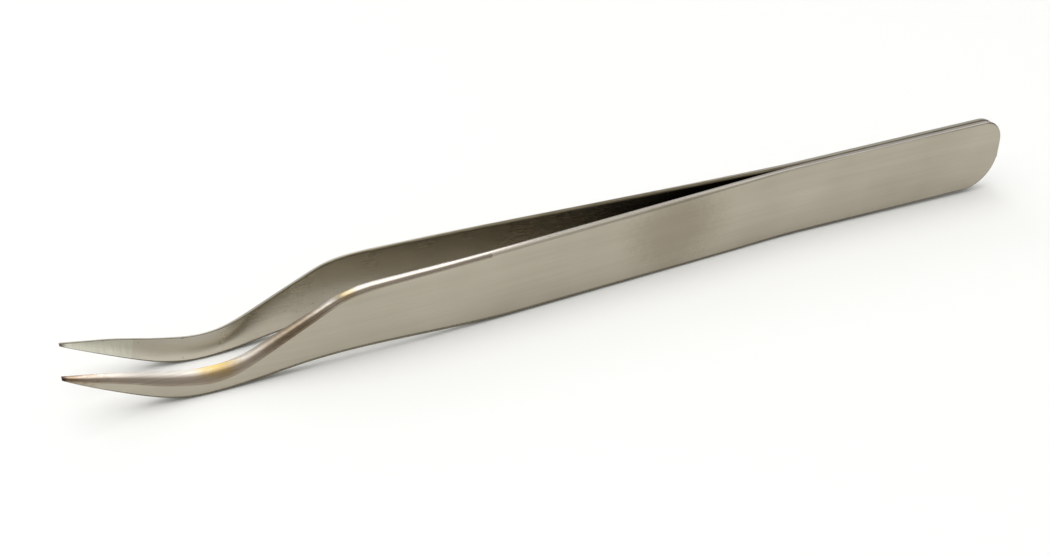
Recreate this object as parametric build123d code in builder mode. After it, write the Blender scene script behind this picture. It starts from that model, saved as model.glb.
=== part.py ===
# Curved-point precision tweezers: two stainless steel strips, spot-welded
# face to face at the butt, that spring apart towards two fine curved points.
#
# Millimetres. +X runs from the points to the butt, +Z is up with the tweezers
# standing on their lower edges, and the points close along Y. The origin is
# the bottom centre of the overall box. Stations are measured from the butt end.
import os
from math import asin, cos, degrees, hypot, radians, sin, tan

from build123d import *

os.makedirs("parts", exist_ok=True)

# ---- overall -------------------------------------------------------------
overall_length = 120.0       # butt end to points, along X
butt_height = 10.1           # top edge above the table at the butt
shoulder_height = 8.6        # and at the shoulder

# ---- strip thickness -----------------------------------------------------
strip_thickness = 0.85        # welded tang and springing length
crest_thickness = 1.05       # where the arms bow out furthest
heel_thickness = 1.9        # the heavier heel behind the points
point_thickness = 0.4        # at the very point
edge_round = 0.15            # rounding round both broad faces

# ---- butt ----------------------------------------------------------------
butt_top_radius = 3.2
butt_bottom_radius = 4.8
butt_lift = 0.6              # the lower edge stands this far off the table there

# ---- plan shape of one arm -----------------------------------------------
weld_length = 31.0           # strips lie face to face this far from the butt
bend_radius = 60.0           # bend where the strips part
flare_angle = 3.85            # each arm leaves the mid plane at this angle
crest_start = 49.5           # straight flare ends this far back from the point
crest_place = 25.5           # and the arm runs parallel again at this place
jaw_length = 9.0             # flat ground on the inside of each point
jaw_gap = 6.3                # opening between the points at rest
jaw_clearance = 0.08         # left between the points when fully closed
point_taper = 9.0            # angle of the outer face as it reaches the point

# ---- side shape of one arm, places measured back from the point -----------
shoulder_place = 33.0        # the straight top edge ends
slope_start = 27.4           # the straight fall behind the heel starts
slope_start_height = 7.57
slope_end = 19.0             # and ends
slope_angle = 24.1
neck_place = 14.0            # lowest place of the top edge
neck_height = 2.77
mid_place = 6.0              # halfway along the upswept point
mid_top_height = 4.42
mid_low_height = 2.1
land_start = 44.0            # the lower edge lies on the table from this station
belly_end = 49.0             # to this far back from the point
belly_place = 24.0           # highest place of the hollow in the lower edge
belly_lift = 0.8
heel_place = 13.5            # the lower edge meets the table again
point_height = 5.4          # middle of the point above the table
point_width = 0.4            # height of the point itself

# ---- flexure and welds ---------------------------------------------------
flex_station = 48.0          # where each arm is taken to hinge as it bends
weld_radius = 2.0            # spot weld nugget
weld_depth = 0.35            # nugget depth into each strip
weld_margin = 8.0            # from either end of the welded length to a nugget
weld_count = 3

# ---- derived -------------------------------------------------------------
butt_x = overall_length / 2
butt_end_height = butt_height - butt_lift  # the wall both butt corners share
point_x = -overall_length / 2
bend = radians(flare_angle)
bend_end = weld_length + bend_radius * sin(bend)
bend_rise = bend_radius * (1 - cos(bend))
crest_radius = (crest_start - crest_place) / sin(bend)
flare_end = overall_length - crest_start  # station where the straight flare ends


def at(station):
    """X of a station measured from the butt end."""
    return butt_x - station


def back(distance):
    """X of a place measured back from the points."""
    return point_x + distance


def flare_y(station):
    """Inner face on the straight flare."""
    return bend_rise + (station - bend_end) * tan(bend)


crest_y = flare_y(flare_end) + crest_radius * (1 - cos(bend))

# Each arm turns about the inner face at the flexure. Fully closed, the flats
# ground inside the points lie beside the mid plane; from there they are turned
# out until the points stand the rest gap apart.
pivot_x, pivot_y = at(flex_station), flare_y(flex_station)
span = hypot(pivot_x - point_x, jaw_gap / 2 - pivot_y)
rest_rise = asin((jaw_gap / 2 - pivot_y) / span)
closed_rise = asin((jaw_clearance / 2 - pivot_y) / span)
closing = rest_rise - closed_rise


def opened(distance):
    """Place on the ground flat, back from the point, in the rest position."""
    dx = distance - span * cos(closed_rise)
    dy = jaw_clearance / 2 - pivot_y
    return (
        pivot_x + dx * cos(closing) + dy * sin(closing),
        pivot_y - dx * sin(closing) + dy * cos(closing),
    )


# The heel comes in as far as the plane of the ground flats, so it clears the
# other arm by as much as they do when the points meet.
heel_y = opened(heel_place)[1]

print(f"each arm closes {degrees(closing):.4f} deg about x {pivot_x:.4f} "
      f"y {pivot_y:.4f}; rest gap {2 * opened(0)[1]:.3f} at x {opened(0)[0]:.3f}")


# One arm seen from above, on the +Y side.
with BuildLine() as plan_line:
    tang_in = Line((at(0), 0), (at(weld_length), 0))
    bend_in = JernArc(tang_in @ 1, (-1, 0), bend_radius, -flare_angle)
    flare_in = Line(bend_in @ 1, (at(flare_end), flare_y(flare_end)))
    crest_in = JernArc(
        flare_in @ 1, (-cos(bend), sin(bend)), crest_radius, flare_angle
    )
    heel_in = Spline(
        crest_in @ 1,
        (back(heel_place), heel_y),
        opened(jaw_length),
        tangents=[(-1, 0), (-1, 0)],
    )
    jaw = Line(heel_in @ 1, opened(0))
    tip_end = Line(jaw @ 1, (point_x, opened(0)[1] + point_thickness))
    tang_out = Line((at(0), strip_thickness), (at(weld_length), strip_thickness))
    bend_out = JernArc(
        tang_out @ 1, (-1, 0), bend_radius - strip_thickness, -flare_angle
    )
    flare_out = Line(
        bend_out @ 1,
        (
            at(flare_end) + strip_thickness * sin(bend),
            flare_y(flare_end) + strip_thickness * cos(bend),
        ),
    )
    bow_out = Spline(
        flare_out @ 1,
        (back(crest_place), crest_y + crest_thickness),
        (back(heel_place), heel_y + heel_thickness),
        tip_end @ 1,
        tangents=[
            (-cos(bend), sin(bend)),
            (-cos(radians(point_taper)), -sin(radians(point_taper))),
        ],
    )
    butt_end = Line(tang_in @ 0, tang_out @ 0)

# The same arm seen from the side.
fall = radians(slope_angle)
fall_direction = (-cos(fall), -sin(fall))
with BuildLine() as side_line:
    side_end = Line((at(0), butt_lift), (at(0), butt_height))
    top = Line(side_end @ 1, (back(shoulder_place), shoulder_height))
    shoulder = Spline(
        top @ 1,
        (back(slope_start), slope_start_height),
        tangents=[top % 1, fall_direction],
    )
    slope = Line(
        shoulder @ 1,
        (
            back(slope_end),
            slope_start_height - (slope_start - slope_end) * tan(fall),
        ),
    )
    sweep_top = Spline(
        slope @ 1,
        (back(neck_place), neck_height),
        (back(mid_place), mid_top_height),
        (point_x, point_height + point_width / 2),
        tangents=[fall_direction, (-1, 0.2)],
    )
    tip_side = Line(sweep_top @ 1, (point_x, point_height - point_width / 2))
    sweep_low = Spline(
        tip_side @ 1,
        (back(mid_place), mid_low_height),
        (back(heel_place), 0),
        tangents=[(1, -0.56), (1, 0)],
    )
    belly = Spline(
        sweep_low @ 1,
        (back(belly_place), belly_lift),
        (back(belly_end), 0),
        tangents=[(1, 0), (1, 0)],
    )
    land = Line(belly @ 1, (at(land_start), 0))
    rise = Line(land @ 1, (at(0), butt_lift))

with BuildPart() as far_strip:
    with BuildSketch(Plane.XY):
        add(plan_line.line)
        make_face()
    extrude(amount=butt_height + point_height)
    with BuildSketch(Plane.XZ) as side:
        add(side_line.line)
        make_face()
        end_corners = side.vertices().group_by(Axis.X)[-1].sort_by(Axis.Y)
        fillet(end_corners[0], radius=min(butt_bottom_radius, 0.58 * butt_end_height))
        fillet(
            side.vertices().group_by(Axis.X)[-1].sort_by(Axis.Y)[-1],
            radius=min(butt_top_radius, 0.38 * butt_end_height),
        )
    extrude(amount=overall_length, both=True, mode=Mode.INTERSECT)
    # Rim of both broad faces: their edges that only one broad face has.
    broad = [f for f in far_strip.faces() if abs(f.normal_at().Y) > 0.8]
    shared = {}
    for face in broad:
        for edge in face.edges():
            middle = edge.center()
            place = (round(middle.X, 4), round(middle.Y, 4), round(middle.Z, 4))
            shared.setdefault(place, []).append(edge)
    fillet([found[0] for found in shared.values() if len(found) == 1],
           radius=edge_round)

# The strip is one piece of steel. It is split square across at the flexure so
# that the springing length can turn, in a body of its own.
flexure = Plane(origin=(pivot_x, 0, 0), z_dir=(1, 0, 0))

weld_pitch = (weld_length - 2 * weld_margin) / (weld_count - 1)
weld_places = [
    (at(weld_margin + weld_pitch * i), 0, (butt_height + butt_lift) / 2)
    for i in range(weld_count)
]

with BuildPart() as far_tang:
    add(far_strip.part)
    split(bisect_by=flexure, keep=Keep.TOP)
    with Locations(*weld_places):
        Cylinder(weld_radius, 2 * weld_depth, rotation=(90, 0, 0),
                 mode=Mode.SUBTRACT)

with BuildPart() as far_arm:
    add(far_strip.part)
    split(bisect_by=flexure, keep=Keep.BOTTOM)

with BuildPart() as near_tang:
    add(far_tang.part)
    mirror(about=Plane.XZ, mode=Mode.REPLACE)

with BuildPart() as near_arm:
    add(far_arm.part)
    mirror(about=Plane.XZ, mode=Mode.REPLACE)

with BuildPart() as spot_welds:
    with Locations(*weld_places):
        Cylinder(weld_radius, 2 * weld_depth, rotation=(90, 0, 0))

pieces = {
    "far_tang": far_tang,
    "near_tang": near_tang,
    "spot_welds": spot_welds,
    "far_arm": far_arm,
    "near_arm": near_arm,
}
for name, piece in pieces.items():
    piece.part.label = name
    box = piece.part.bounding_box()
    print(name, len(piece.part.solids()), "solid(s)", round(piece.part.volume, 2),
          "mm3", [round(v, 2) for v in (box.min.X, box.max.X, box.min.Y, box.max.Y,
                                        box.min.Z, box.max.Z)])

export_step(far_tang.part, "parts/far_tang.step")
export_step(near_tang.part, "parts/near_tang.step")
export_step(spot_welds.part, "parts/spot_welds.step")
export_step(far_arm.part, "parts/far_arm.step")
export_step(near_arm.part, "parts/near_arm.step")
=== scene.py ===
# %% [markdown]
# # Curved-point precision tweezers
#
# Two springy strips of stainless steel are welded face to face at the butt.
# They part a third of the way along, bow out, and end in two fine points that
# are swept upwards. Everything here is in metres, +X runs from the points to
# the butt and +Z is up, with the tweezers standing on their lower edges.
#
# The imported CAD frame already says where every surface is. This lesson builds
# the two strips again as smooth, continuous pieces of steel around that frame,
# and gives them the satin, polished and ground finishes of the real tool.

from math import cos, radians, sin, sqrt

import bpy
from mathutils import Euler, Matrix, Vector


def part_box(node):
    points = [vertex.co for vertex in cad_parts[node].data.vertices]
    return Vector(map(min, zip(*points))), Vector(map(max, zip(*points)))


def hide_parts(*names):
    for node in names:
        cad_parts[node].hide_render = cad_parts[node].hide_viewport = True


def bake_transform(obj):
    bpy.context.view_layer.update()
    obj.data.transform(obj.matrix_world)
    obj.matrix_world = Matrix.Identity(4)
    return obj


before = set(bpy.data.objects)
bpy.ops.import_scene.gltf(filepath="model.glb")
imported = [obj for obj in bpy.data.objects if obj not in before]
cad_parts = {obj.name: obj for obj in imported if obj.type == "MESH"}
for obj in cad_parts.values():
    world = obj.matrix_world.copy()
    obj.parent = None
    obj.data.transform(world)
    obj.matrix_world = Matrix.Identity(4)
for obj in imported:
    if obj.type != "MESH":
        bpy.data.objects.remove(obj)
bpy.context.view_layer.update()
MM = 0.001

# %% [markdown]
# ## Reading the frame
#
# Each strip is one ribbon whose section is a plain rectangle: an inner and an
# outer broad face, a top edge and a lower edge. The CAD walls that face each of
# those four ways hold the outline, so their corners are collected and joined
# with a smooth curve. Copying the CAD triangles would keep their facets, which
# show as bands in a polished surface. A curve through the same corners doesn't.

# %% Corners of the walls that face one way
CLOSEST = 0.35  # mm between two corners that are both worth keeping
SLIVER = 0.003  # mm2, below which a triangle's normal means little
BUTT_TOP_RADIUS, BUTT_LOWER_RADIUS = 3.2, 4.8  # round corners of the butt
END_ROUND = 0.4  # mm next to the butt's end where the CAD rim is rounded

weld_low, weld_high = (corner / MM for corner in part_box("spot_welds"))
butt_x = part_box("far_tang")[1].x / MM
point_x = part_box("far_arm")[0].x / MM


def in_a_weld(place):
    """True for a corner of the shallow pocket round a spot weld."""
    return all(
        low - 0.01 < value < high + 0.01
        for low, value, high in zip(weld_low, place, weld_high)
    )


def wall_corners(side, faces_it, axis, outermost=min, corner_radius=END_ROUND):
    """(x, place along axis) of the CAD corners of the walls that face one way."""
    found = {}
    end = butt_x - corner_radius + 0.1
    for node in (f"{side}_tang", f"{side}_arm"):
        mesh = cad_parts[node].data
        for face in mesh.polygons:
            if face.area / MM**2 < SLIVER or not faces_it(face.normal):
                continue
            for index in face.vertices:
                place = mesh.vertices[index].co / MM
                if place.x <= end and not in_a_weld(place):
                    known = found.get(place.x, place[axis])
                    found[place.x] = outermost(known, place[axis])
    corners = []
    for x in sorted(found):
        if not corners or x - corners[-1][0] > CLOSEST:
            corners.append((x, found[x]))
    return corners


# %% A smooth curve through the corners
def through(corners, x):
    """Height of a smooth curve through the corners at x, straight past its ends."""
    last = len(corners) - 2
    i = max(0, min(last, sum(1 for corner in corners if corner[0] <= x) - 1))
    (x0, v0), (x1, v1) = corners[i], corners[i + 1]
    chord = (v1 - v0) / (x1 - x0)
    if x <= x0 or x >= x1:
        return v0 + (x - x0) * chord
    before = chord if i == 0 else slope_at(corners, i)
    after = chord if i == last else slope_at(corners, i + 1)
    t, run = (x - x0) / (x1 - x0), x1 - x0
    return (
        v0 * (2 * t**3 - 3 * t**2 + 1)
        + run * before * (t**3 - 2 * t**2 + t)
        + v1 * (3 * t**2 - 2 * t**3)
        + run * after * (t**3 - t**2)
    )


def slope_at(corners, i):
    """Slope at corner i, from the chords on either side of it."""
    (xa, va), (xb, vb), (xc, vc) = corners[i - 1 : i + 2]
    a, c = (vb - va) / (xb - xa), (vc - vb) / (xc - xb)
    return (a * (xc - xb) + c * (xb - xa)) / (xc - xa)


def strip_outline(side):
    """The four outlines of one strip: inner and outer face, lower and top edge."""
    out = 1 if side == "far" else -1
    flat = 0.001
    return {
        "inner": wall_corners(
            side, lambda n: abs(n.z) < flat and n.y * out < -0.8, 1
        ),
        "outer": wall_corners(side, lambda n: abs(n.z) < flat and n.y * out > 0.8, 1),
        "lower": wall_corners(side, lambda n: abs(n.y) < flat and n.z < -0.4, 2,
                              min, BUTT_LOWER_RADIUS),
        "top": wall_corners(side, lambda n: abs(n.y) < flat and n.z > 0.4, 2,
                            max, BUTT_TOP_RADIUS),
    }


outlines = {side: strip_outline(side) for side in ("far", "near")}
for side, outline in outlines.items():
    print(side, {name: len(corners) for name, corners in outline.items()})

# %% [markdown]
# ## Where the sections stand
#
# A section is needed wherever the strip changes shape. Along the handle a few
# will do. From the shoulder to the points every outline is curved, so the
# sections stand close together there. The butt is stamped with two round
# corners, a tighter one above and a fuller one below, and its sections stand at
# equal steps of angle round the fuller one.

# %% Stations from the butt to the points
CURVED_FROM = -14.0  # mm, just behind the shoulder
STRAIGHT_STEP, CURVED_STEP = 1.5, 0.4
CORNER_STEPS = 16


def stations():
    """Places of the sections along X in mm, from the butt to the points."""
    corner = [
        butt_x - BUTT_LOWER_RADIUS * (1 - cos(radians(90 * i / CORNER_STEPS)))
        for i in range(CORNER_STEPS)
    ]
    start = butt_x - BUTT_LOWER_RADIUS
    straight = round((start - CURVED_FROM) / STRAIGHT_STEP)
    curved = round((CURVED_FROM - point_x) / CURVED_STEP)
    step = (start - CURVED_FROM) / straight
    fine = (CURVED_FROM - point_x) / curved
    return (
        corner
        + [start - i * step for i in range(straight)]
        + [CURVED_FROM - i * fine for i in range(curved + 1)]
    )


places = stations()
print(len(places), "sections, from", places[0], "to", places[-1], "mm")

# %% [markdown]
# ## Drawing the ribbon out
#
# A toolmaker stamps the blank and bends it. In Blender the same ribbon can be
# drawn out of its end section: a small grid stands where the butt is cut off,
# and extrude pulls it from station to station. At each stop the new section is
# moved and stretched to the size that the frame gives there.

# %% Helpers for edit mode
def put_down():
    """Leaves edit mode and deselects everything."""
    if bpy.context.object and bpy.context.object.mode == "EDIT":
        bpy.ops.object.mode_set(mode="OBJECT")
    bpy.ops.object.select_all(action="DESELECT")


def pick_up(piece):
    """Makes piece the only selected object, ready for an operator."""
    put_down()
    piece.select_set(True)
    bpy.context.view_layer.objects.active = piece


def choose(piece, kind, wanted):
    """Opens piece in edit mode with only its wanted edges or faces selected."""
    pick_up(piece)
    bpy.ops.object.mode_set(mode="EDIT")
    bpy.ops.mesh.select_mode(type=kind)
    bpy.ops.mesh.select_all(action="DESELECT")
    bpy.ops.object.mode_set(mode="OBJECT")
    elements = piece.data.polygons if kind == "FACE" else piece.data.edges
    for element in elements:
        element.select = bool(wanted(element))
    bpy.ops.object.mode_set(mode="EDIT")


def corner_cut(x, radius):
    """How much a round corner of the butt takes off the outline at x, in mm."""
    into = max(0.0, x - (butt_x - radius))
    return radius - sqrt(max(0.0, radius**2 - into**2))


def section(outline, x):
    """(centre, size) of the strip's rectangular section at x, in mm."""
    inner, outer = through(outline["inner"], x), through(outline["outer"], x)
    low = through(outline["lower"], x) + corner_cut(x, BUTT_LOWER_RADIUS)
    high = through(outline["top"], x) - corner_cut(x, BUTT_TOP_RADIUS)
    return (
        Vector((x, (inner + outer) / 2, (low + high) / 2)),
        Vector((1, abs(outer - inner), high - low)),
    )


# %% Extrude a ribbon from its end section
ROWS = 4  # faces up each broad side, so that the inner one can be curved


def draw_out(name, outline):
    """A closed ribbon with one rectangular section at each station."""
    put_down()
    centre, size = section(outline, places[0])
    bpy.ops.mesh.primitive_grid_add(
        x_subdivisions=ROWS, y_subdivisions=1, size=1,
        location=centre * MM, rotation=(0, radians(90), 0),
    )
    ribbon = bpy.context.object
    ribbon.name = ribbon.data.name = name
    ribbon.scale = (size.z * MM, size.y * MM, 1)
    bpy.ops.object.transform_apply(location=True, rotation=True, scale=True)
    bpy.ops.object.mode_set(mode="EDIT")
    bpy.ops.mesh.select_all(action="SELECT")
    for x in places[1:]:
        ahead, new_size = section(outline, x)
        bpy.ops.mesh.extrude_region_move(
            TRANSFORM_OT_translate={"value": (ahead - centre) * MM}
        )
        bpy.ops.transform.resize(
            value=(1, new_size.y / size.y, new_size.z / size.z),
            center_override=ahead * MM,
        )
        centre, size = ahead, new_size
    bpy.ops.mesh.select_all(action="SELECT")
    bpy.ops.mesh.normals_make_consistent(inside=False)
    put_down()
    return ribbon


strips = {side: draw_out(f"{side}_strip", outlines[side]) for side in outlines}
for strip in strips.values():
    print(strip.name, len(strip.data.polygons), "faces after drawing out")

# %% [markdown]
# ## Dressing the backs of the points
#
# Behind each point the strip is ground by hand: the upper part of the inner
# face curves outwards, and the outside of the top edge is taken down. That
# leaves a narrow crown, highest along its inner rim, on a heel that is still
# thick at the table. Each section has a few rows of vertices, and the rows
# move by amounts that are eased from place to place. The middle rows of the
# outer face only move down, to leave room for the full rounding that follows.

# %% Amounts at each place
LEAN = ((-60, 0), (-57, 0.2), (-54.1, 0.36), (-51.2, 0.5), (-48.2, 0.6),
        (-46, 0.66), (-44.3, 0.64), (-42.2, 0.5), (-40.4, 0.3), (-38, 0.1),
        (-35, 0))  # (x, how far the top of the inner face leans out) in mm
FALL = ((-60, 0.05), (-57, 0.2), (-54, 0.25), (-51, 0.36), (-48.5, 0.38),
        (-46, 0.48), (-44, 0.38), (-42, 0.15), (-39, 0.06), (-34, 0))
# FALL is (x, how far the outside of the top edge comes down) in mm.
FOOT, SPREAD = 0.15, 0.4  # the outer middle rows stand between 0.25 and 0.45 up


def eased(stops, x):
    """Value at x between (x, value) stops, with an even slope at each stop."""
    if x <= stops[0][0] or x >= stops[-1][0]:
        return stops[0][1] if x <= stops[0][0] else stops[-1][1]
    return through(stops, x)


# %% Curve the inner face and take the back down
def dress(strip, outline, out):
    """Curves the inner face outwards, and lowers the outside of the top edge."""
    for vertex in strip.data.vertices:
        x = vertex.co.x / MM
        centre, size = section(outline, x)
        up = round((vertex.co.z / MM - centre.z) / size.z + 0.5, 2)
        if (vertex.co.y / MM - centre.y) * out < 0:
            vertex.co.y += out * eased(LEAN, x) * up**2 * MM
        elif up == 1:
            vertex.co.z -= eased(FALL, x) * MM
        elif up > 0:
            low = centre.z - size.z / 2
            vertex.co.z = (low + size.z * (FOOT + SPREAD * up)) * MM
    return len(strip.data.vertices)


for side, strip in strips.items():
    print(strip.name, dress(strip, outlines[side], 1 if side == "far" else -1),
          "vertices dressed")

# %% [markdown]
# ## Clearing the flat of the tang
#
# The sections have left upright lines across the flat sides of the tang. Where
# the outline runs round the butt they would steer the edge rounding wrongly, so
# faces that lie in one plane are joined into one.

# %% Join the coplanar faces of the tang
WELD_END = 29.0  # mm; the strips lie flat together from here to the butt


def clear_tang(strip):
    """Joins the coplanar faces of each broad side of the tang."""
    choose(
        strip,
        "FACE",
        lambda face: abs(face.normal.y) > 0.99
        and face.center.x > (WELD_END + 2) * MM,
    )
    bpy.ops.mesh.dissolve_faces()
    put_down()


for strip in strips.values():
    clear_tang(strip)
    print(strip.name, len(strip.data.polygons), "faces with the tang cleared")

# %% [markdown]
# ## Breaking the edges
#
# After stamping, the strips are tumbled and then dressed by hand, so no edge is
# sharp. The handle has a small, even round. From the slope onwards the outside
# of the top edge is dressed much fuller, which makes a smooth back behind the
# points. A Bevel modifier with a weight on each edge can change its radius from
# one station to the next, which the bevel operator can't.

# %% Radius of the rounding along the strip
FULLEST = 1.0  # mm, the radius that a weight of 1 stands for
RIM_STEPS = 8
RIM_RADII = {  # (x, radius) in mm
    "outer top": ((-60, 0.08), (-59, 0.25), (-57, 0.5), (-54, 0.7), (-51, 0.84),
                  (-48, 0.92), (-39, 0.93), (-37, 0.88), (-33.6, 0.84), (-28, 0.7),
                  (0, 0.6), (14, 0.56), (26, 0.22), (60, 0.25)),
    "inner top": ((-60, 0.06), (-51, 0.07), (-46, 0.08), (-40, 0.12), (-34, 0.14),
                  (-28, 0.2), (60, 0.24)),
    "outer lower": ((-60, 0.08), (-55, 0.2), (60, 0.2)),
    "inner lower": ((-60, 0.07), (-55, 0.16), (60, 0.2)),
}
POINT_RADIUS = 0.08


# %% Round the rims
OUTSIDE, INSIDE, UPPER_EDGE, LOWER_EDGE, INNER_RIM = range(5)  # material slots
BROAD = 0.75  # a face is broad when its normal points this much along Y
UNDERSIDE, INWARD = -0.05, -0.2  # parts of the normal that say lower, and inner
SATIN_ROUND = 0.62  # the handle's satin finish runs on round the rim to here


def is_broad(face):
    """True for the inner and outer face of a strip."""
    return abs(face.normal.y) > BROAD


def round_rims(strip, out):
    """Rounds every edge between a broad face and the strip's own edge."""
    mesh = strip.data
    sharing = {}
    for face in mesh.polygons:
        for key in face.edge_keys:
            sharing.setdefault(key, []).append(face)
        if is_broad(face):
            face.material_index = OUTSIDE if face.normal.y * out > 0 else INSIDE
        else:
            face.material_index = UPPER_EDGE
    weights = mesh.attributes.new("bevel_weight_edge", "FLOAT", "EDGE")
    rounded = 0
    for edge in mesh.edges:
        faces = sorted(sharing[edge.key], key=is_broad)
        if is_broad(faces[0]) == is_broad(faces[1]):
            continue
        rim, broad = faces
        x = sum(mesh.vertices[v].co.x for v in edge.vertices) / 2 / MM
        side = "outer" if broad.normal.y * out > 0 else "inner"
        height = "lower" if rim.normal.z < 0 else "top"
        radius = eased(RIM_RADII[f"{side} {height}"], x)
        if rim.normal.x < -0.95:
            radius = POINT_RADIUS
        weights.data[edge.index].value = radius / FULLEST
        rounded += 1
    pick_up(strip)
    bevel = strip.modifiers.new("rims", "BEVEL")
    bevel.limit_method = "WEIGHT"
    bevel.offset_type = "OFFSET"
    bevel.width = FULLEST * MM
    bevel.segments = RIM_STEPS
    bevel.use_clamp_overlap = False
    bevel.material = UPPER_EDGE
    bpy.ops.object.modifier_apply(modifier=bevel.name)
    for face in mesh.polygons:
        if face.material_index != UPPER_EDGE:
            continue
        outward, behind = face.normal.y * out, face.center.x > CURVED_FROM * MM
        if face.normal.z < UNDERSIDE:
            face.material_index = LOWER_EDGE
        elif outward > SATIN_ROUND and behind:
            face.material_index = OUTSIDE
        elif outward < INWARD:
            face.material_index = INNER_RIM
    put_down()
    return rounded


for side, strip in strips.items():
    for _ in range(INNER_RIM + 1):
        strip.data.materials.append(None)
    print(strip.name, round_rims(strip, 1 if side == "far" else -1),
          "rim edges rounded,", len(strip.data.polygons), "faces")

# %% [markdown]
# ## Smooth shading
#
# The broad faces should shade flat across and the small rounds should carry all
# of the turn. Smooth shading with normals weighted by face size does that.

# %% Shade the strips
def shade(strip):
    """Smooth shading whose normals follow the large faces."""
    pick_up(strip)
    bpy.ops.object.shade_smooth_by_angle(angle=radians(50))
    weighted = strip.modifiers.new("weighted", "WEIGHTED_NORMAL")
    weighted.keep_sharp = True
    bpy.ops.object.modifier_apply(modifier=weighted.name)
    put_down()


for strip in strips.values():
    shade(strip)

# %% [markdown]
# ## A map along the steel
#
# The mill brushes the strip lengthwise before it is stamped, so the fine lines
# follow the ribbon wherever it bends. A small UV map carries that: U is the
# place along the ribbon and V the place across it.

# %% Lay the grain map
MAP_SIZE = 0.16  # metres of steel across the whole map


def lay_grain(strip, outline, shift):
    """UV map of the strip: along it in U, across it in V."""
    mesh = strip.data
    layer = mesh.uv_layers.new(name="grain")
    middles = {}
    for loop in mesh.loops:
        place = mesh.vertices[loop.vertex_index].co
        key = round(place.x, 6)
        if key not in middles:
            middles[key] = section(outline, place.x / MM)[0].y * MM
        across = place.z + (place.y - middles[key])
        layer.data[loop.index].uv = (
            (place.x - point_x * MM) / MAP_SIZE,
            shift + across / MAP_SIZE,
        )
    print(strip.name, "map laid over", len(middles), "sections")


lay_grain(strips["far"], outlines["far"], 0.1)
lay_grain(strips["near"], outlines["near"], 0.5)

# %% [markdown]
# ## Materials
#
# Everything is one stainless steel, finished in several ways. Steel is a metal,
# so its colour is the colour of its reflection, and the finish is only in how
# rough that reflection is and which way the fine lines run.

# %% Node helpers
def linear(code):
    """A linear colour from an sRGB hex code."""
    channels = (int(code[i : i + 2], 16) / 255 for i in (1, 3, 5))
    return (
        *(c / 12.92 if c <= 0.04045 else ((c + 0.055) / 1.055) ** 2.4 for c in channels),
        1,
    )


def find(sockets, name):
    """The socket with this name or identifier, with _ read as a space."""
    wanted = name.replace("_", " ")
    return next(s for s in sockets if wanted in (s.name, s.identifier.replace("_", " ")))


def node(material, kind, links=None, **settings):
    """Adds a node, sets its properties, then its inputs (in_...), and links it."""
    tree = material.node_tree
    made = tree.nodes.new(kind)
    for name, value in settings.items():
        if not name.startswith("in_"):
            setattr(made, name, value)
    for name, value in settings.items():
        if name.startswith("in_"):
            find(made.inputs, name[3:]).default_value = value
    for name, source in (links or {}).items():
        tree.links.new(source, find(made.inputs, name))
    return made


def new_metal(name, roughness, anisotropic=0.0):
    """A bare metal with its shader, and nothing painted on it yet."""
    material = bpy.data.materials.new(name)
    material.use_nodes = True
    shader = material.node_tree.nodes["Principled BSDF"]
    shader.inputs["Metallic"].default_value = 1
    shader.inputs["Roughness"].default_value = roughness
    shader.inputs["Anisotropic"].default_value = anisotropic
    return material, shader


def drive(material, shader, **sources):
    """Links sources to the shader's inputs by name."""
    for name, source in sources.items():
        material.node_tree.links.new(source, find(shader.inputs, name))


# %% Patterns that follow the steel
def brushed(material, spacing, length, across=False, detail=4.0):
    """Fine lines along the ribbon, or across it, spacing and length in mm."""
    grain = node(material, "ShaderNodeUVMap", uv_map="grain")
    along, over = MAP_SIZE / MM / length, MAP_SIZE / MM / spacing
    stretched = node(
        material,
        "ShaderNodeMapping",
        {"Vector": grain.outputs["UV"]},
        in_Scale=(over, along, 1) if across else (along, over, 1),
    )
    lines = node(
        material,
        "ShaderNodeTexNoise",
        {"Vector": stretched.outputs["Vector"]},
        in_Scale=1.0,
        in_Detail=detail,
        in_Roughness=0.6,
    )
    return lines.outputs["Fac"]


def clouds(material, size, detail=2.0):
    """Soft blotches of handling and uneven brushing, size in mm."""
    place = node(material, "ShaderNodeTexCoord")
    blotches = node(
        material,
        "ShaderNodeTexNoise",
        {"Vector": place.outputs["Object"]},
        in_Scale=1 / (size * MM),
        in_Detail=detail,
    )
    return blotches.outputs["Fac"]


def blend_of(material, first, second, share):
    """Two patterns in one; share is how much of the second, or a pattern of it."""
    both = node(material, "ShaderNodeMix", {"A_Float": first, "B_Float": second})
    factor = find(both.inputs, "Factor_Float")
    if isinstance(share, float):
        factor.default_value = share
    else:
        material.node_tree.links.new(share, factor)
    return find(both.outputs, "Result_Float")


def ramp(material, source, stops):
    """Colour or value ramp from (position, colour) pairs."""
    made = node(material, "ShaderNodeValToRGB", {"Fac": source})
    elements = made.color_ramp.elements
    while len(elements) < len(stops):
        elements.new(0.5)
    for element, (position, colour) in zip(elements, stops):
        element.position = position
        element.color = linear(colour) if isinstance(colour, str) else (
            colour, colour, colour, 1)
    return made.outputs["Color"]


def lines_bump(material, height, strength, depth):
    """Surface normal of lines that are cut depth mm deep."""
    bump = node(material, "ShaderNodeBump", {"Height": height},
                in_Strength=strength, in_Distance=depth * MM)
    return bump.outputs["Normal"]


def grain_tangent(material):
    """The direction of the brushing, for a highlight that spreads across it."""
    return node(material, "ShaderNodeTangent", direction_type="UV_MAP",
                uv_map="grain").outputs["Tangent"]


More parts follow.
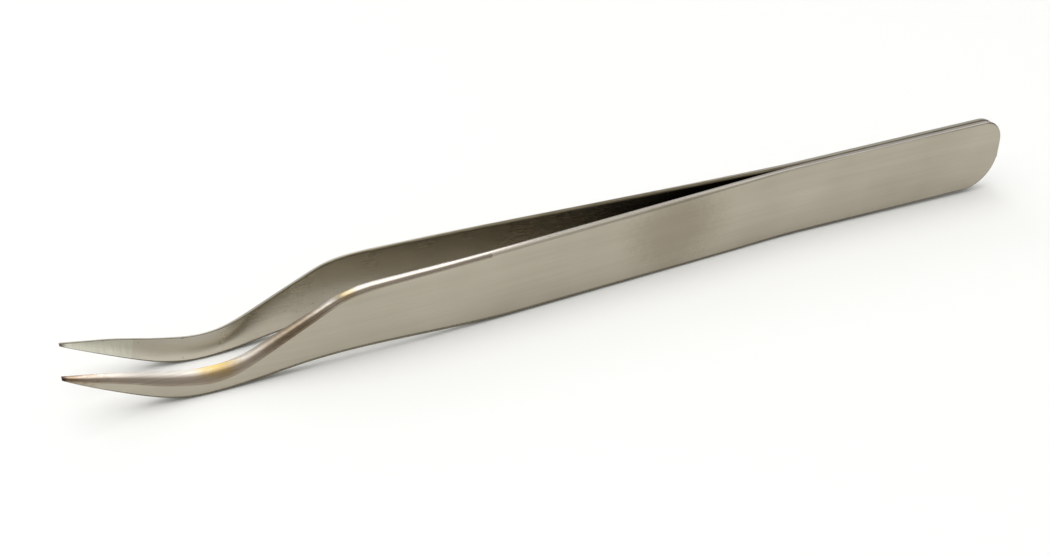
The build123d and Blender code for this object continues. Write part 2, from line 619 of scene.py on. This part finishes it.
# %% Stains that lie at one place on the steel
# Each place below is a centre and how far the stain reaches along X, Y and Z, in
# mm. The reach in Y is wide enough to take in the whole strip.
def patch(material, centre, size, ragged=0.5):
    """1 at a place, fading to 0 at size mm from it along X, Y and Z."""
    place = node(material, "ShaderNodeTexCoord")
    spread = node(
        material,
        "ShaderNodeMapping",
        {"Vector": place.outputs["Object"]},
        in_Location=[-c / s for c, s in zip(centre, size)],
        in_Scale=[1 / (s * MM) for s in size],
    )
    reach = node(material, "ShaderNodeVectorMath",
                 {"Vector": spread.outputs["Vector"]}, operation="LENGTH")
    rough_edge = node(material, "ShaderNodeMath",
                      {"Value": clouds(material, 0.5, 4.0)},
                      operation="MULTIPLY_ADD")
    rough_edge.inputs[1].default_value = ragged
    material.node_tree.links.new(reach.outputs["Value"], rough_edge.inputs[2])
    faded = node(
        material,
        "ShaderNodeMapRange",
        {"Value": rough_edge.outputs["Value"]},
        interpolation_type="SMOOTHSTEP",
        in_From_Min=1.0 + ragged / 2,
        in_From_Max=0.25 + ragged / 2,
    )
    return faded.outputs["Result"]


def tint(material, colour, code, amount):
    """Colour multiplied by a hex colour where amount is 1."""
    mixed = node(material, "ShaderNodeMix",
                 {"Factor_Float": amount, "A_Color": colour},
                 data_type="RGBA", blend_type="MULTIPLY", in_B_Color=linear(code))
    return find(mixed.outputs, "Result_Color")


POINT_BROWN = "#CDBAA8"  # handling and heat have browned the points
POINT_DARK = "#3A332D"  # and the blunt tips are nearly black
BROWN_POINT = (-60.5, 0, 5.6), (7.5, 12, 2.4)
BLUNT_TIP = (-60.2, 0, 5.4), (1.0, 12, 1.0)


def worn_point(material, colour):
    """Browns the last few millimetres and darkens the very tip."""
    brown = patch(material, *BROWN_POINT, 0.8)
    dark = patch(material, *BLUNT_TIP, 0.3)
    return tint(material, tint(material, colour, POINT_BROWN, brown),
                POINT_DARK, dark)


# %% [markdown]
# ### Satin outside
#
# The broad faces are brushed lengthwise and then tumbled, which leaves a soft,
# slightly yellow grey with faint lines. The lines lie along the steel, so a
# highlight spreads across them. Handling adds soft blotches.

# %% Satin-brushed steel of the broad faces
LINE_SPACING = 0.12  # mm; the real lines are nearer 0.05 and too fine to show
LINE_LENGTH = 14.0  # mm
STREAK_SPACING, STREAK_LENGTH = 1.3, 45.0  # mm, broader passes of the wheel
HANDLED = "#DDDAD3"  # dulled where a thumb holds it
GRIP = (10.0, 0, 5.5), (9.5, 12, 7.5)


def satin_steel():
    material, shader = new_metal("satin_brushed_stainless", 0.3, 0.3)
    lines = brushed(material, LINE_SPACING, LINE_LENGTH)
    streaks = brushed(material, STREAK_SPACING, STREAK_LENGTH, detail=2.0)
    soft = blend_of(material, clouds(material, 9.0), streaks, 0.4)
    both = blend_of(material, soft, lines, 0.35)
    colour = ramp(material, both,
                  [(0.32, "#A69F90"), (0.5, "#AFA899"), (0.68, "#B8B1A2")])
    handled = patch(material, *GRIP, 0.3)
    colour = tint(material, colour, HANDLED, handled)
    drive(
        material, shader,
        Base_Color=worn_point(material, colour),
        Roughness=ramp(material, both, [(0.3, 0.36), (0.7, 0.26)]),
        Normal=lines_bump(material, lines, 0.22, 0.004),
        Tangent=grain_tangent(material),
    )
    return material


# %% [markdown]
# ### Inside, with the ground flats
#
# The inner faces are brushed too. The last stretch is ground flat on a fine
# stone so that the points meet, which leaves it paler, a little greener, and
# marked across. Behind it the heel was dressed by hand, so it is duller, and it
# is painted a little paler, as painted light. A few small pits show where the
# blank was never polished. Where the strips part, the narrow space gets painted
# shade so that it looks deep.

# %% Inner faces
GROUND_FROM = -54.0  # mm, where x less a share of z says that the stone began
GROUND_LEAN = 0.29
HEEL_PAINTED_LIGHT = "#CFC9BB"  # painted light: a paler heel, which is also duller from dressing by hand
HEEL = (-51.5, 0, 3.5), (10.0, 14, 10.0)
CREVICE_SHADE = "#7E786C"  # painted shade where the strips part, chosen so that it looks deep
CREVICE = (24.0, 0, 5.0), (27.0, 12, 16.0)
PIT_DARK, PIT_SIZE, PIT_SHARE = "#8C8377", 0.09, 0.3  # colour, mm, share of cells
INNER_TIP = (-60.2, 0, 5.4), (1.1, 12, 1.0)


def ground_mask(material):
    """1 on the flat that the stone has ground, 0 behind it."""
    place = node(material, "ShaderNodeTexCoord")
    leaning = node(material, "ShaderNodeVectorMath",
                   {"Vector": place.outputs["Object"]}, operation="DOT_PRODUCT")
    leaning.inputs[1].default_value = (1 / MM, 0, -GROUND_LEAN / MM)
    mask = node(material, "ShaderNodeMapRange", {"Value": leaning.outputs["Value"]},
                in_From_Min=GROUND_FROM + 0.06, in_From_Max=GROUND_FROM - 0.06)
    return mask.outputs["Result"]


def pits(material, size, share):
    """Scattered specks of size mm, on about a share of the cells."""
    place = node(material, "ShaderNodeTexCoord")
    cells = node(material, "ShaderNodeTexVoronoi",
                 {"Vector": place.outputs["Object"]}, in_Scale=1 / (7 * size * MM))
    near = node(material, "ShaderNodeMapRange",
                {"Value": cells.outputs["Distance"]},
                in_From_Min=0.12, in_From_Max=0.05)
    picked = node(material, "ShaderNodeMath",
                  {"Value": cells.outputs["Color"]}, operation="LESS_THAN")
    picked.inputs[1].default_value = share
    kept = node(material, "ShaderNodeMath", operation="MULTIPLY")
    material.node_tree.links.new(near.outputs["Result"], kept.inputs[0])
    material.node_tree.links.new(picked.outputs["Value"], kept.inputs[1])
    return kept.outputs["Value"]


def inner_steel():
    material, shader = new_metal("ground_inner_stainless", 0.26, 0.2)
    lines = brushed(material, LINE_SPACING, LINE_LENGTH)
    scratches = brushed(material, 0.1, 2.5, across=True)
    soft = blend_of(material, clouds(material, 6.0), lines, 0.4)
    plain = ramp(material, soft, [(0.3, "#B4AD9E"), (0.7, "#C6BFB0")])
    # painted light on the heel's inner face; the same patch also makes it duller below
    heel = patch(material, *HEEL, 0.1)
    lighter = node(material, "ShaderNodeMix",
                   {"Factor_Float": heel, "A_Color": plain},
                   data_type="RGBA", in_B_Color=linear(HEEL_PAINTED_LIGHT))
    plain = find(lighter.outputs, "Result_Color")
    stone = ramp(material, scratches, [(0.3, "#CCCABB"), (0.7, "#E0DED0")])
    ground = ground_mask(material)
    colour = node(material, "ShaderNodeMix",
                  {"Factor_Float": ground, "A_Color": plain, "B_Color": stone},
                  data_type="RGBA")
    pitted_and_shaded = tint(material, find(colour.outputs, "Result_Color"), PIT_DARK,
                  pits(material, PIT_SIZE, PIT_SHARE))
    dark = patch(material, *INNER_TIP, 0.4)
    # painted shade: a darker tone on the inner faces where the strips part
    pitted_and_shaded = tint(material, pitted_and_shaded, CREVICE_SHADE, patch(material, *CREVICE, 0.1))
    dull = node(material, "ShaderNodeMath", {"Value": ground}, operation="MAXIMUM")
    material.node_tree.links.new(heel, dull.inputs[1])
    drive(
        material, shader,
        Base_Color=tint(material, pitted_and_shaded, POINT_DARK, dark),
        Roughness=blend_of(
            material,
            ramp(material, soft, [(0.3, 0.3), (0.7, 0.22)]),
            ramp(material, scratches, [(0.3, 0.46), (0.7, 0.34)]),
            dull.outputs["Value"],
        ),
        Normal=lines_bump(material, blend_of(material, lines, scratches, 0.4),
                          0.2, 0.004),
        Tangent=grain_tangent(material),
    )
    return material


# %% [markdown]
# ### The four kinds of edge
#
# The near strip's upper edge was buffed along the handle. Behind the point it
# was dressed by hand, so it is duller there and brown on the slope. Straw
# coloured glints are painted on at the heel and the shoulder, as painted
# highlights, and the outer half of that rounding gets painted shade, a grey.
# The far strip's upper edge was only tumbled. The lower edges keep the press's
# marks across them, and their darker grey is painted shade under the strip.
# The inner rims get a dark line that is partly a dull burr and partly painted
# shade.

# %% Painted glints, painted shade and stains of the near upper edge
# painted highlights: straw coloured glints at the heel and the shoulder
HEEL_GLINT_COLOUR = "#F4DC9A"
SHOULDER_GLINT_COLOUR = "#F0E2BC"
SLOPE_BROWN = "#B5A896"
# painted shade: grey on the outer half of the near rounding
OUTER_ROUND_SHADE = "#B9B1A6"
SLOPE = (-37.4, 0, 5.6), (7.6, 12, 5.4)
HEEL_GLINT_PLACE = (-45.2, 0, 2.9), (3.2, 12, 2.0)
SHOULDER_GLINT_PLACE = (-31.0, 0, 8.2), (2.0, 12, 1.2)
DRESSED = (-46.0, 0, 4.0), (17.0, 14, 9.0)


def outer_round_shade_mask(material):
    """1 on the outer half of the near rounding, where painted shade greys it."""
    place = node(material, "ShaderNodeTexCoord")
    split = node(material, "ShaderNodeSeparateXYZ", {"Vector": place.outputs["Normal"]})
    outer = node(material, "ShaderNodeMapRange", {"Value": split.outputs["Y"]},
                 in_From_Min=-0.45, in_From_Max=-0.75)
    return outer.outputs["Result"]


# %% Edge finishes
def buffed_edge():
    material, shader = new_metal("buffed_edge_stainless", 0.18)
    lines = brushed(material, 0.25, 5.0)
    colour = ramp(material, lines, [(0.3, "#C3BCB3"), (0.7, "#DAD4CC")])
    slope = patch(material, *SLOPE, 0.3)
    # painted highlights: straw coloured glints at the heel and the shoulder
    heel_glint = patch(material, *HEEL_GLINT_PLACE, 0.5)
    shoulder_glint = patch(material, *SHOULDER_GLINT_PLACE, 0.4)
    colour = tint(material, colour, SLOPE_BROWN, slope)
    colour = tint(material, colour, HEEL_GLINT_COLOUR, heel_glint)
    colour = tint(material, colour, SHOULDER_GLINT_COLOUR, shoulder_glint)
    # painted shade: the outward-facing half of the near rounding is greyed
    colour = tint(material, colour, OUTER_ROUND_SHADE, outer_round_shade_mask(material))
    dressed = patch(material, *DRESSED, 0.1)
    drive(
        material, shader,
        Base_Color=worn_point(material, colour),
        Roughness=blend_of(
            material,
            ramp(material, lines, [(0.3, 0.26), (0.7, 0.14)]),
            ramp(material, lines, [(0.3, 0.46), (0.7, 0.36)]),
            dressed,
        ),
        Normal=lines_bump(material, lines, 0.3, 0.006),
    )
    return material


def tumbled_edge():
    material, shader = new_metal("tumbled_edge_stainless", 0.42)
    lines = brushed(material, 0.2, 5.0)
    drive(
        material, shader,
        Base_Color=ramp(material, lines, [(0.3, "#ABA698"), (0.7, "#C2BDAF")]),
        Roughness=ramp(material, lines, [(0.3, 0.5), (0.7, 0.36)]),
    )
    return material


# painted shade: the lower edges are a darker grey for the shadow under the strip; the
# lines across are the press's marks
def shaded_lower_edge():
    material, shader = new_metal("shaded_lower_edge_stainless", 0.5)
    lines = brushed(material, 0.15, 0.8, across=True)
    drive(
        material, shader,
        Base_Color=ramp(material, lines, [(0.3, "#6F6A5C"), (0.7, "#938D7C")]),
        Roughness=ramp(material, lines, [(0.3, 0.6), (0.7, 0.42)]),
    )
    return material


# a dark line on the inner rims: partly a dull burr, partly painted shade
def inner_rim_burr_and_shade():
    material, shader = new_metal("inner_rim_burr_and_shade_stainless", 0.45)
    lines = brushed(material, 0.15, 3.0)
    drive(
        material, shader,
        Base_Color=ramp(material, lines, [(0.3, "#57503F"), (0.7, "#7D7562")]),
        Roughness=ramp(material, lines, [(0.3, 0.55), (0.7, 0.38)]),
    )
    return material


finishes = {
    OUTSIDE: satin_steel(),
    INSIDE: inner_steel(),
    LOWER_EDGE: shaded_lower_edge(),
    INNER_RIM: inner_rim_burr_and_shade(),
}
upper = {"far": tumbled_edge(), "near": buffed_edge()}
for side, strip in strips.items():
    for slot, finish in (finishes | {UPPER_EDGE: upper[side]}).items():
        strip.data.materials[slot] = finish
    print(strip.name, [finish.name for finish in strip.data.materials])

# %% Weld nuggets, hidden between the tangs
weld_finish, weld_shader = new_metal("weld_nugget_steel", 0.45)
drive(
    weld_finish, weld_shader,
    Base_Color=ramp(weld_finish, clouds(weld_finish, 0.6),
                    [(0.3, "#7C776B"), (0.7, "#A09A8B")]),
)
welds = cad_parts["spot_welds"]
for slot in welds.material_slots:
    slot.material = weld_finish

# %% [markdown]
# ## Taking the place of the frame
#
# Each arm springs about the place where the strip bends. The CAD tang and arm
# of each strip are hidden, and the strip's transform is baked into its mesh.

# %% Hide the frame's strips and bake the new ones
for side, strip in strips.items():
    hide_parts(f"{side}_tang", f"{side}_arm")
    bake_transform(strip)

# %% [markdown]
# ## Table, light and camera

# %% White table
bpy.ops.mesh.primitive_plane_add(size=6, location=(0, 0, -0.00001))
table = bpy.context.object
table.name = "table"
table_white = bpy.data.materials.new("white_card")
table_white.use_nodes = True
card = table_white.node_tree.nodes["Principled BSDF"]
card.inputs["Base Color"].default_value = linear("#F1F1EF")
card.inputs["Roughness"].default_value = 0.7
table.data.materials.append(table_white)

# %% Soft studio light
def soft_light(name, place, aim, width, height, radiance, colour="#FFFFFF"):
    """A rectangular soft box that shines with the same radiance all over."""
    light = bpy.data.lights.new(name, "AREA")
    light.shape = "RECTANGLE"
    light.size, light.size_y = width, height
    light.energy = radiance * 3.14159 * width * height
    light.color = linear(colour)[:3]
    lamp = bpy.data.objects.new(name, light)
    bpy.context.scene.collection.objects.link(lamp)
    lamp.location = place
    lamp.rotation_euler = (Vector(aim) - Vector(place)).to_track_quat(
        "-Z", "Y").to_euler()
    lamp.visible_camera = False
    return lamp


def around(azimuth, elevation, distance):
    """A place seen from the tweezers at azimuth from +Y towards +X."""
    a, e = radians(azimuth), radians(elevation)
    return (distance * sin(a) * cos(e), distance * cos(a) * cos(e),
            distance * sin(e))


# The overhead box makes the white band along the near upper edge, and the cards
# low down at the back and sides give that edge its grey further on.
soft_light("overhead_box", (0.05, 0.1, 1.5), (0.05, 0.1, 0), 0.94, 2.1, 2.15)
soft_light("left_ceiling", (-1.25, 0.2, 1.5), (-1.25, 0.2, 0), 1.6, 2.2, 0.55)
soft_light("ceiling_card", (1.4, 0.2, 1.5), (1.4, 0.2, 0), 1.6, 2.6, 0.45)
soft_light("window_box", around(10, 30, 2.3), (0, 0, 0), 0.78, 0.9, 1.5)
soft_light("back_card", around(-24, 27, 2.5), (0, 0, 0), 3.4, 2.0, 0.6)
soft_light("side_card", around(46, 27, 2.6), (0, 0, 0), 1.7, 2.0, 0.35)
# The side boxes soften the shadows, and the front card lights the inner faces.
soft_light("left_box", around(-98, 42, 2.1), (0, 0, 0), 1.7, 1.7, 1.5)
soft_light("right_box", around(104, 42, 2.1), (0, 0, 0), 1.7, 1.7, 0.5)
soft_light("front_card", around(180, 32, 2.2), (0, 0, 0), 4.0, 2.1, 0.6)

world = bpy.data.worlds.new("room")
bpy.context.scene.world = world
world.use_nodes = True
world.node_tree.nodes["Background"].inputs["Color"].default_value = linear("#F4F4F0")
world.node_tree.nodes["Background"].inputs["Strength"].default_value = 0.13
bpy.context.scene.view_settings.view_transform = "Standard"

# %% Camera
camera_data = bpy.data.cameras.new("camera")
camera_data.sensor_width = 36
camera_data.lens = 37.98
camera_data.clip_start = 0.005
camera = bpy.data.objects.new("camera", camera_data)
bpy.context.scene.collection.objects.link(camera)
camera.location = Vector((-49.28, -104.50, 69.22)) * MM
camera.rotation_euler = (
    Euler((radians(90 - 30.807), 0, -radians(21.155))).to_matrix()
    @ Matrix.Rotation(radians(-1.994), 3, "Z")
).to_euler()
bpy.context.scene.camera = camera
